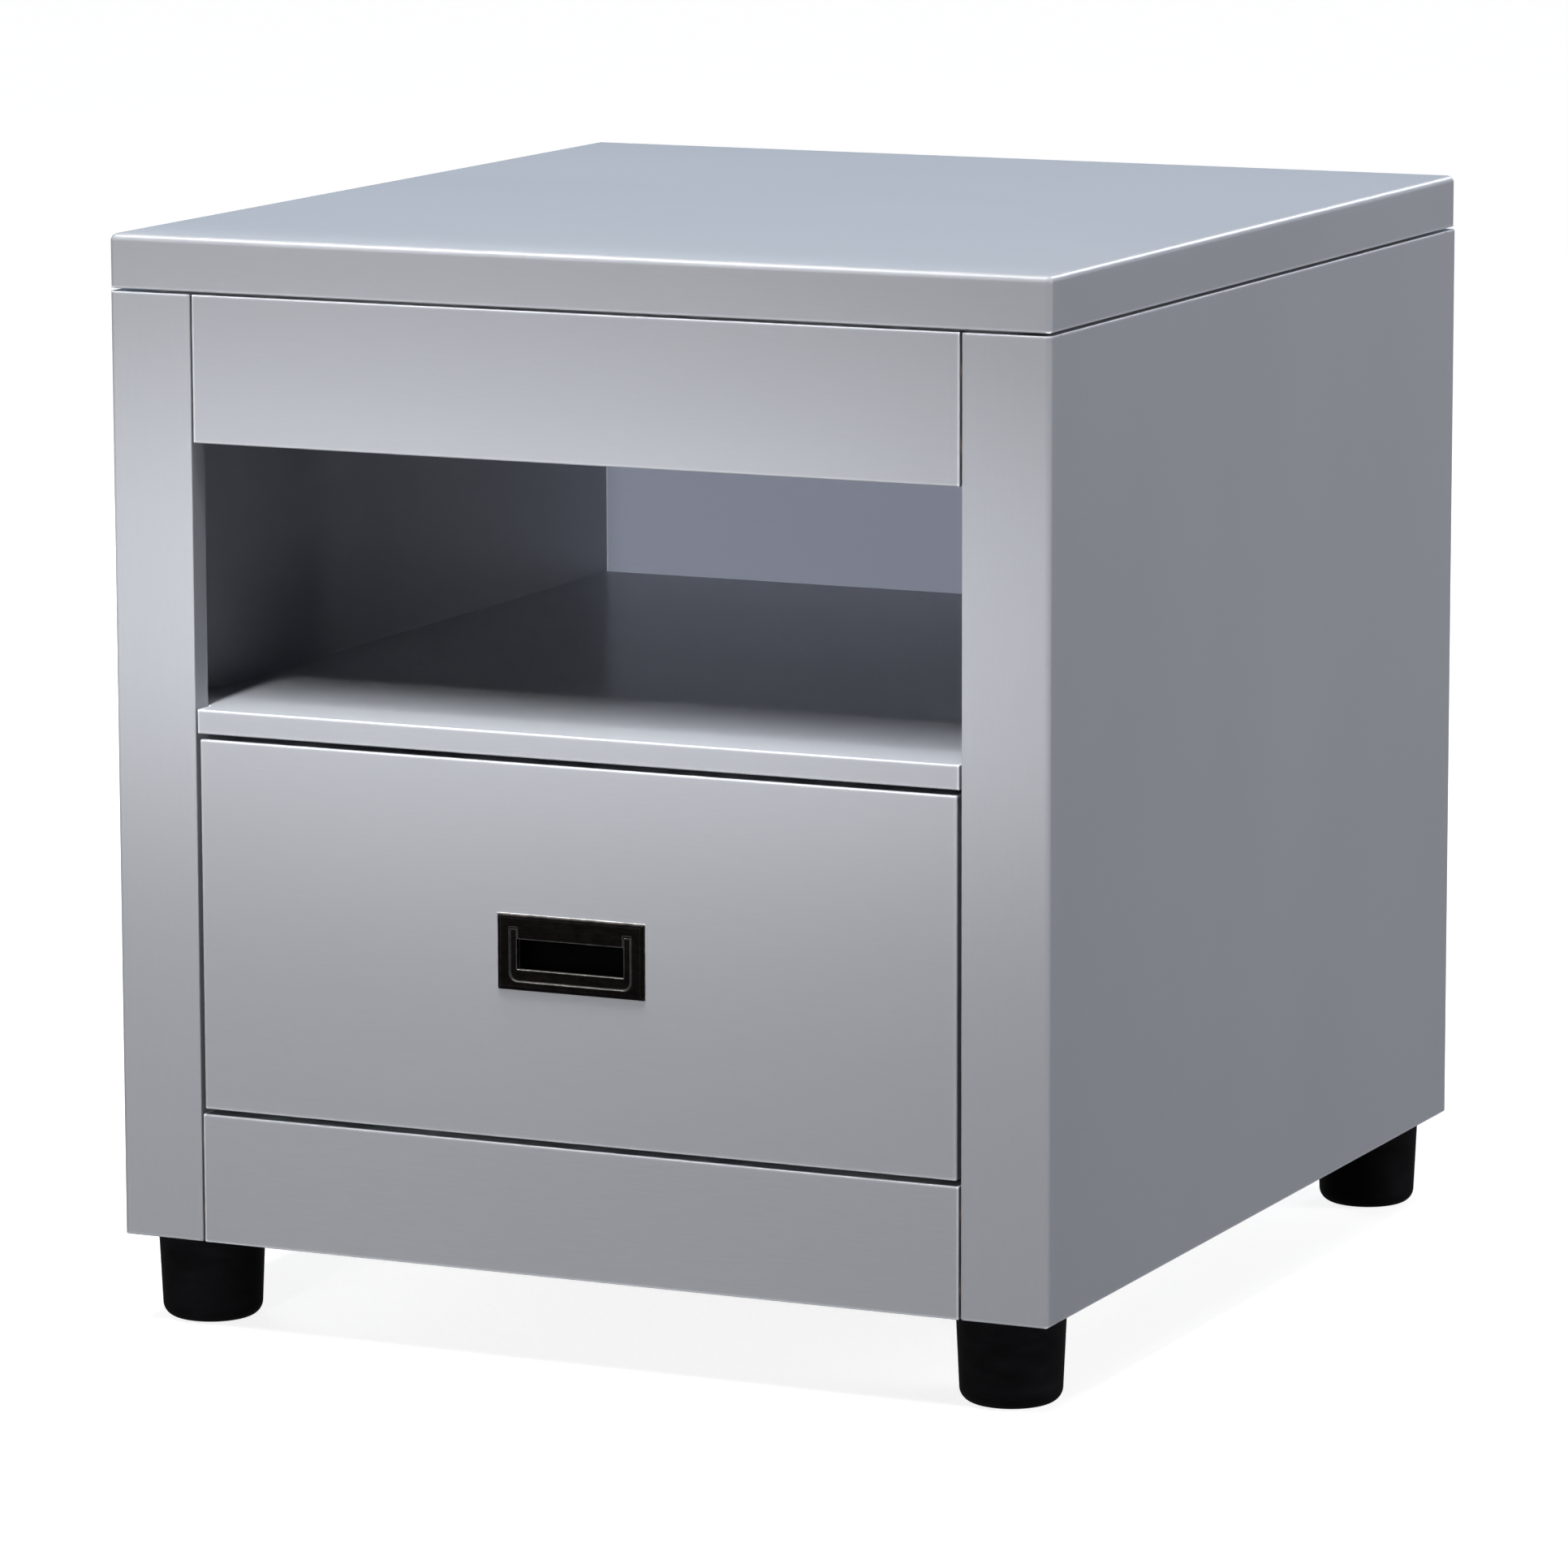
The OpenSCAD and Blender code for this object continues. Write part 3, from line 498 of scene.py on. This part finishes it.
def make_case():
    eased = {"edges": 4, "front bottom": 0.8, "back bottom": 0.8, "left bottom": 0.8, "right bottom": 0.8}
    board("top_panel", LACQUERED["x"], eased, segments=6)
    board("sub_top", LACQUERED["x"], cut=True)
    for side, inner in (("left", "right"), ("right", "left")):
        eased = {"edges": 1.0, f"front {side}": 0, f"front {inner}": 0, "front top": 0, "front bottom": 0}
        board(f"{side}_side_panel", LACQUERED["z"], eased)
        eased = {
            "edges": 1.0, "back top": 0, "back bottom": 0, f"back {side}": 0, f"back {inner}": 0.3,
            f"front {side}": 3.5, f"front {inner}": 0.7,
        }
        board(f"{side}_stile", LACQUERED["z"], eased, segments=5)
    eased = {"edges": 0.6, "front bottom": 1.0, "front top": 1.0}
    board("upper_front_rail", LACQUERED["x"], eased, trim=GROOVE)
    eased = {"edges": 0.6, "front top": 1.0}
    board("lower_front_rail", LACQUERED["rail"], eased, trim=GROOVE)
    board("back_panel", LACQUERED["back"], cut=True)
    for node in ("rear_upper_rail", "rear_lower_rail", "bottom_panel"):
        board(node, LACQUERED["x"], cut=True)
    make_shelf()
    for side in ("left", "right"):
        board(f"{side}_packing_batten", BEECH["y"], {"edges": 1.2}, cut=True, slot="beech")


def make_shelf():
    """The shelf runs back between the side panels, and its tongue comes forward between the stiles."""
    low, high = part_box("shelf_panel")
    tongue_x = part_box("right_stile")[0].x - GROOVE
    step_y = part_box("right_stile")[1].y
    outline = [
        (-tongue_x, low.y), (tongue_x, low.y), (tongue_x, step_y), (high.x, step_y),
        (high.x, high.y), (low.x, high.y), (low.x, step_y), (-tongue_x, step_y),
    ]
    bm = prism(outline, low.z, high.z)
    radii = {"edges": 0.3, "front top": 1.0, "front bottom": 1.0, "front left": 0.6, "front right": 0.6}
    board("shelf_panel", LACQUERED["x"], radii, bm=bm)


# ---- Feet ----

FOOT_NODES = ("front_left_foot", "front_right_foot", "rear_left_foot", "rear_right_foot")
FOOT_TOP_R = 30 * MM
FOOT_LOW_R = 28 * MM
FOOT_EDGE_R = 8 * MM
FOOT_FLAT_R = 14 * MM
FOOT_LIP = 0.6 * MM


def make_feet():
    for node in FOOT_NODES:
        low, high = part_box(node)
        height = high.z - low.z
        profile = [(0, 0), (FOOT_FLAT_R, 0)]
        profile += arc(FOOT_LOW_R - FOOT_EDGE_R, FOOT_EDGE_R, FOOT_EDGE_R, -90, 0, 14)
        profile += [(FOOT_TOP_R - FOOT_LIP / 4, height - 2 * FOOT_LIP)]
        profile += arc(FOOT_TOP_R - FOOT_LIP, height - FOOT_LIP, FOOT_LIP, 0, 90, 4) + [(0, height)]
        bm = bmesh.new()
        centre = (low + high) / 2
        lathe(bm, profile, 96, Matrix.Translation((centre.x, centre.y, low.z)))
        for face in bm.faces:
            face.smooth = True
        new_piece(f"{node}_turned", bm, FOOT_BLACK, "foot_black", node)


# ---- Drawer ----


def make_drawer():
    eased = {"edges": 1.2}
    board("drawer_front", LACQUERED["x"], eased, cut=True)
    walls = (
        ("drawer_left_side", "y", "x"), ("drawer_right_side", "y", "x"),
        ("drawer_box_front", "x", "y"), ("drawer_back", "x", "y"),
    )
    for node, grain, across in walls:
        rounded = {"edges": 0.4, "left top": 1.8, "right top": 1.8, "front top": 1.8, "back top": 1.8}
        material = plywood(f"ply_{node}", grain, across, node)
        board(node, material, rounded, cut=True, slot="plywood")
    material = plywood("ply_drawer_bottom", "x", "z", "drawer_bottom")
    board("drawer_bottom", material, {"edges": 0.4}, slot="plywood")


def make_slides():
    for side in ("left", "right"):
        for part in ("cabinet_member", "intermediate_member", "drawer_member"):
            refined(f"{side}_{part}", SLIDE_STEEL, "slide_steel", 0.25 * MM)
        for part in ("outer_retainer", "inner_retainer"):
            refined(f"{side}_{part}", SLIDE_STEEL, "slide_steel", 0.1 * MM, segments=1)


def make_pull():
    refined("pull_plate", ANTIQUE, "antique_metal", 0.22 * MM, segments=3)
    refined("pull_bail", ANTIQUE, "antique_metal", 0.4 * MM, segments=3)


# ---- Screws ----


def loose_parts(node):
    """The points of each separate solid of a CAD node."""
    bm = bmesh.new()
    bm.from_mesh(frame["nodes"][node].data)
    bmesh.ops.remove_doubles(bm, verts=bm.verts, dist=0.001 * MM)
    for start in bm.verts:
        if start.tag:
            continue
        start.tag = True
        part = [start]
        for vert in part:
            for edge in vert.link_edges:
                other = edge.other_vert(vert)
                if not other.tag:
                    other.tag = True
                    part.append(other)
        yield [v.co.copy() for v in part]
    bm.free()


def screw_places(node):
    """Where each screw of a CAD node has the middle of its head's face, and which way it enters."""
    for points in loose_parts(node):
        low = Vector(min(p[i] for p in points) for i in range(3))
        high = Vector(max(p[i] for p in points) for i in range(3))
        axis = max(range(3), key=lambda i: high[i] - low[i])
        middle = (low + high) / 2

        def spread(end):
            close = [p for p in points if abs(p[axis] - end) < 0.1 * MM]
            return max((p - middle).length_squared - (p[axis] - middle[axis]) ** 2 for p in close)

        into = 1 if spread(low[axis]) > spread(high[axis]) else -1
        head = middle.copy()
        head[axis] = low[axis] if into == 1 else high[axis]
        direction = Vector((0, 0, 0))
        direction[axis] = into
        yield head, direction, high[axis] - low[axis]


THREAD_PITCH = 1.4 * MM
THREAD_ROOT = 0.72  # of the shank's radius
SCREW_TIP = 5 * MM
PAN_DOME = 1.1 * MM
COUNTERSUNK_RIM = 0.15 * MM
CROSS_REACH = 0.55  # of the head's radius, as are the next two
CROSS_WIDTH = 0.14
CROSS_DEPTH = 0.5


def screw_profile(length, shank_r, head_r, pan_height):
    """Radius and height of a screw that enters along +Z; pan_height is 0 for a countersunk head."""
    if pan_height:
        profile = [(0, 0), (head_r * 0.55, 0.12 * MM), (head_r * 0.85, 0.5 * MM), (head_r * 0.97, PAN_DOME)]
        profile += [(head_r, PAN_DOME + 0.4 * MM), (head_r, pan_height), (shank_r, pan_height)]
    else:
        rim = COUNTERSUNK_RIM
        profile = [(0, 0), (head_r - rim, 0), (head_r, rim), (shank_r, head_r - shank_r + rim)]
    root = shank_r * THREAD_ROOT
    z = profile[-1][1] + 2 * THREAD_PITCH
    while z < length - SCREW_TIP:
        profile += [(root, z), (shank_r, z + THREAD_PITCH / 2)]
        z += THREAD_PITCH
    return profile + [(root, z), (0, length)]


def add_cross(bm, head_r):
    """The tapered cross that a screwdriver's tip fills."""
    half_l, half_w, depth = head_r * CROSS_REACH, head_r * CROSS_WIDTH, head_r * CROSS_DEPTH
    corners = [(half_l, half_w, -depth), (half_l * 0.35, half_w * 0.6, depth)]
    for turn in (0, 90):
        rings = [
            [bm.verts.new((sx * l, sy * w, z)) for sx, sy in ((-1, -1), (1, -1), (1, 1), (-1, 1))]
            for l, w, z in corners
        ]
        for i in range(4):
            j = (i + 1) % 4
            bm.faces.new((rings[0][i], rings[0][j], rings[1][j], rings[1][i]))
        bm.faces.new(rings[0][::-1])
        bm.faces.new(rings[1])
        bar = rings[0] + rings[1]
        bmesh.ops.rotate(bm, verts=bar, matrix=Matrix.Rotation(math.radians(turn), 3, "Z"))


def helper_object(name, bm):
    helper = bpy.data.objects.new(name, bpy.data.meshes.new(name))
    bm.to_mesh(helper.data)
    bm.free()
    bpy.context.scene.collection.objects.link(helper)
    return helper


def screw_mesh(length, shank_r, head_r, pan_height):
    """A screw with a cross recess and a thread, from its head's face along +Z."""
    bm = bmesh.new()
    lathe(bm, screw_profile(length, shank_r, head_r, pan_height), 32)
    bmesh.ops.recalc_face_normals(bm, faces=bm.faces)
    screw = helper_object("screw", bm)
    bm = bmesh.new()
    add_cross(bm, head_r)
    cutter = helper_object("cutter", bm)
    recess = screw.modifiers.new("recess", "BOOLEAN")
    recess.operation = "DIFFERENCE"
    recess.object = cutter
    recess.use_self = True
    graph = bpy.context.evaluated_depsgraph_get()
    done = bpy.data.meshes.new_from_object(screw.evaluated_get(graph))
    for helper in (screw, cutter):
        bpy.data.objects.remove(helper)
    return done


def make_screws(node, shank_r, head_r, pan_height=0):
    """Every screw of a CAD node as one piece, each head turned a little further than the last."""
    bm = bmesh.new()
    shape = None
    for i, (head, direction, length) in enumerate(screw_places(node)):
        if shape is None:
            shape = screw_mesh(length, shank_r, head_r, pan_height)
        before = len(bm.verts)
        bm.from_mesh(shape)
        bm.verts.ensure_lookup_table()
        turn = Matrix.Rotation(math.radians(37 * i), 4, "Z")
        stand = direction.to_track_quat("Z", "Y").to_matrix().to_4x4()
        matrix = Matrix.Translation(head) @ stand @ turn
        bmesh.ops.transform(bm, verts=bm.verts[before:], matrix=matrix)
    for edge in bm.edges:
        edge.smooth = edge.calc_face_angle(0) < math.radians(28)
    for face in bm.faces:
        face.smooth = True
    new_piece(f"{node}_driven", bm, SCREW_STEEL, "zinc_steel", node)


def make_all_screws():
    for node in ("back_screws", "batten_screws"):
        make_screws(node, 2 * MM, 4 * MM)
    for node in ("top_screws", "drawer_front_screws", "pull_screws"):
        make_screws(node, 2 * MM, 4 * MM, pan_height=2.5 * MM)
    for node in ("cabinet_member_screws", "drawer_member_screws"):
        make_screws(node, 1.75 * MM, 2.9 * MM)


# ---- Kept CAD nodes ----


def keep(node, material):
    """Shows a CAD node's own shape with a better material."""
    piece = frame["nodes"][node]
    piece.data.materials.clear()
    piece.data.materials.append(material)


def dress_kept_nodes():
    keep("case_dowels", BEECH["x"])
    keep("drawer_dowels", BEECH["x"])
    keep("foot_studs", SCREW_STEEL)
    keep("foot_inserts", SCREW_STEEL)
    for side in ("left", "right"):
        keep(f"{side}_outer_balls", BALL_STEEL)
        keep(f"{side}_inner_balls", BALL_STEEL)


# ---- Studio ----

# Angles are in degrees. The camera's roll is small, and its lens is in millimetres.
CAMERA_PLACE = (1.8987, -4.1434, 1.0530)
CAMERA_YAW = 24.78
CAMERA_PITCH = 9.67
CAMERA_ROLL = -0.14
CAMERA_LENS = 185.2
TARGET = Vector((0, -0.2, 0.33))
KEY_TARGET = Vector((-0.32, -0.3, 0.28))
OVERHEAD_TARGET = Vector((0, -0.17, 0.45))
SIDE_TARGET = Vector((0.28, 0.1, 0.38))
SPOT_TARGET = Vector((-0.075, -0.305, 0.415))
SPOT_ELEVATIONS = range(50, 78, 5)
SPOT_DISTANCE = 2.6
SPOT_RADIUS = 0.075
SPOT_CONE = 2.6
SPOT_STRETCH = 11  # how many times wider than high a spot's patch of light is
SPOT_POWER = 140
SKY = (0.04, 0.045, 0.05)
GROUND = (0.105, 0.105, 0.11)
FLOOR_SIZE = 60
FLOOR_WHITE = 0.35
FLOOR_GLOW = (0.85, 0.97)  # the floor's own light near the table and far from it
FLOOR_GLOW_REACH = (0.8, 4.0)  # how far from the table's middle these two are


def make_camera():
    camera = bpy.data.objects.new("camera", bpy.data.cameras.new("camera"))
    camera.data.lens = CAMERA_LENS
    camera.data.clip_end = 100
    turn = (
        Matrix.Rotation(math.radians(CAMERA_YAW), 4, "Z")
        @ Matrix.Rotation(math.radians(90 - CAMERA_PITCH), 4, "X")
        @ Matrix.Rotation(math.radians(CAMERA_ROLL), 4, "Z")
    )
    camera.matrix_world = Matrix.Translation(CAMERA_PLACE) @ turn
    bpy.context.scene.collection.objects.link(camera)
    bpy.context.scene.camera = camera


def hang_light(data, azimuth, elevation, distance, target, stretch=1):
    """Hangs a lamp that faces a target. Azimuth 0 is straight in front and grows to the right."""
    a, e = math.radians(azimuth), math.radians(elevation)
    back = Vector((math.sin(a) * math.cos(e), -math.cos(a) * math.cos(e), math.sin(e)))
    turn = back.to_track_quat("Z", "Y").to_matrix().to_4x4()
    light = bpy.data.objects.new(data.name, data)
    matrix = Matrix.Translation(target + back * distance) @ turn
    light.matrix_world = matrix @ Matrix.Diagonal((stretch, 1, 1, 1))
    light.visible_camera = False
    bpy.context.scene.collection.objects.link(light)
    return light


def make_light(name, azimuth, elevation, distance, size, power, colour, target=TARGET, spread=180):
    """A soft box; size is its width and height."""
    data = bpy.data.lights.new(name, "AREA")
    data.shape = "RECTANGLE"
    data.size, data.size_y = size
    data.energy = power
    data.color = colour
    data.spread = math.radians(spread)
    return hang_light(data, azimuth, elevation, distance, target)


def make_spot(name, elevation):
    """A soft spot from straight in front that makes a low, wide patch of light round the cubby."""
    data = bpy.data.lights.new(name, "SPOT")
    data.energy = SPOT_POWER
    data.shadow_soft_size = SPOT_RADIUS
    data.spot_size = math.radians(SPOT_CONE)
    data.spot_blend = 1.0
    hang_light(data, 0, elevation, SPOT_DISTANCE, SPOT_TARGET, SPOT_STRETCH)


def make_world():
    """A dim room round the table, behind which the camera sees a white backdrop."""
    world = bpy.data.worlds.new("studio")
    bpy.context.scene.world = world
    world.use_nodes = True
    tree = world.node_tree
    seen = add_node(tree, "ShaderNodeLightPath").outputs["Is Camera Ray"]
    direction = add_node(tree, "ShaderNodeTexCoord").outputs["Generated"]
    up = add_node(tree, "ShaderNodeSeparateXYZ", {0: direction}).outputs["Z"]
    fill = tree.nodes["Background"]
    tree.links.new(mix(tree, remap(tree, up, -0.05, 0.05, 0, 1), GROUND, SKY), fill.inputs["Color"])
    backdrop = add_node(tree, "ShaderNodeBackground", {"Color": (1, 1, 1, 1), "Strength": 1.0})
    both = add_node(tree, "ShaderNodeMixShader", {0: seen, 1: fill.outputs[0], 2: backdrop.outputs[0]})
    tree.links.new(both.outputs[0], tree.nodes["World Output"].inputs["Surface"])


def make_floor():
    """A pale floor that takes a faint shadow but throws no light back on the table."""
    material, tree, shader = new_material("studio_floor")
    shade = noise(tree, (0.6, 0.6, 0.6), detail=2)
    pale = mix(tree, shade, (FLOOR_WHITE * 0.985,) * 3, (FLOOR_WHITE,) * 3)
    tree.links.new(pale, shader.inputs["Base Color"])
    shader.inputs["Roughness"].default_value = 0.8
    shader.inputs["Specular IOR Level"].default_value = 0.1
    shader.inputs["Emission Color"].default_value = (1, 1, 1, 1)
    away = add_node(tree, "ShaderNodeVectorMath", {0: place(tree)}, operation="LENGTH").outputs["Value"]
    tree.links.new(remap(tree, away, *FLOOR_GLOW_REACH, *FLOOR_GLOW), shader.inputs["Emission Strength"])
    bm = bmesh.new()
    bmesh.ops.create_grid(bm, x_segments=4, y_segments=4, size=FLOOR_SIZE / 2)
    mesh = bpy.data.meshes.new("floor")
    bm.to_mesh(mesh)
    bm.free()
    mesh.materials.append(material)
    floor = bpy.data.objects.new("floor", mesh)
    bpy.context.scene.collection.objects.link(floor)
    floor.visible_diffuse = False
    floor.visible_glossy = False


def make_lights():
    """The two keys come from low down, so that the left stile throws its shadow in the cubby."""
    key = make_light(
        "key", azimuth=5, elevation=3.5, distance=5.0, size=(0.4, 0.4), power=7.9,
        colour=(1.03, 1.0, 0.98), target=KEY_TARGET, spread=44,
    )
    edge_key = make_light(
        "edge_key", azimuth=5.6, elevation=4.5, distance=5.0, size=(0.12, 0.12), power=50,
        colour=(1.02, 0.97, 1.0),
    )
    make_light(
        "overhead", azimuth=0, elevation=79, distance=3.0, size=(1.5, 1.1), power=125,
        colour=(1.0, 1.0, 1.0), target=OVERHEAD_TARGET,
    )
    make_light(
        "side_fill", azimuth=104, elevation=14, distance=3.4, size=(1.5, 1.5), power=82,
        colour=(0.99, 0.98, 1.03), target=SIDE_TARGET,
    )
    make_light(
        "backdrop_glow", azimuth=-165, elevation=14, distance=4.0, size=(5.0, 1.6), power=12,
        colour=(0.7, 0.95, 1.3),
    )
    rear_fill = make_light(
        "rear_fill", azimuth=-128, elevation=3, distance=3.4, size=(1.6, 1.2), power=95,
        colour=(0.98, 1.0, 1.04),
    )
    make_light(
        "rim", azimuth=169, elevation=25, distance=4.0, size=(0.9, 0.6), power=20,
        colour=(0.97, 1.0, 1.06),
    )
    arris_card = make_light(
        "arris_card", azimuth=-68, elevation=63, distance=3.0, size=(0.8, 0.8), power=60,
        colour=(1.0, 1.0, 1.0),
    )
    # The card only draws bright lines on eased edges, and these three make no patch of glare.
    arris_card.visible_diffuse = False
    for light in (key, edge_key, rear_fill):
        light.visible_glossy = False
    for elevation in SPOT_ELEVATIONS:
        make_spot(f"cubby_spot_{elevation}", elevation)


def make_studio():
    bpy.context.scene.view_settings.view_transform = "Standard"
    make_camera()
    make_world()
    make_floor()
    make_lights()


make_case()
make_feet()
make_drawer()
make_slides()
make_pull()
make_all_screws()
dress_kept_nodes()
make_studio()
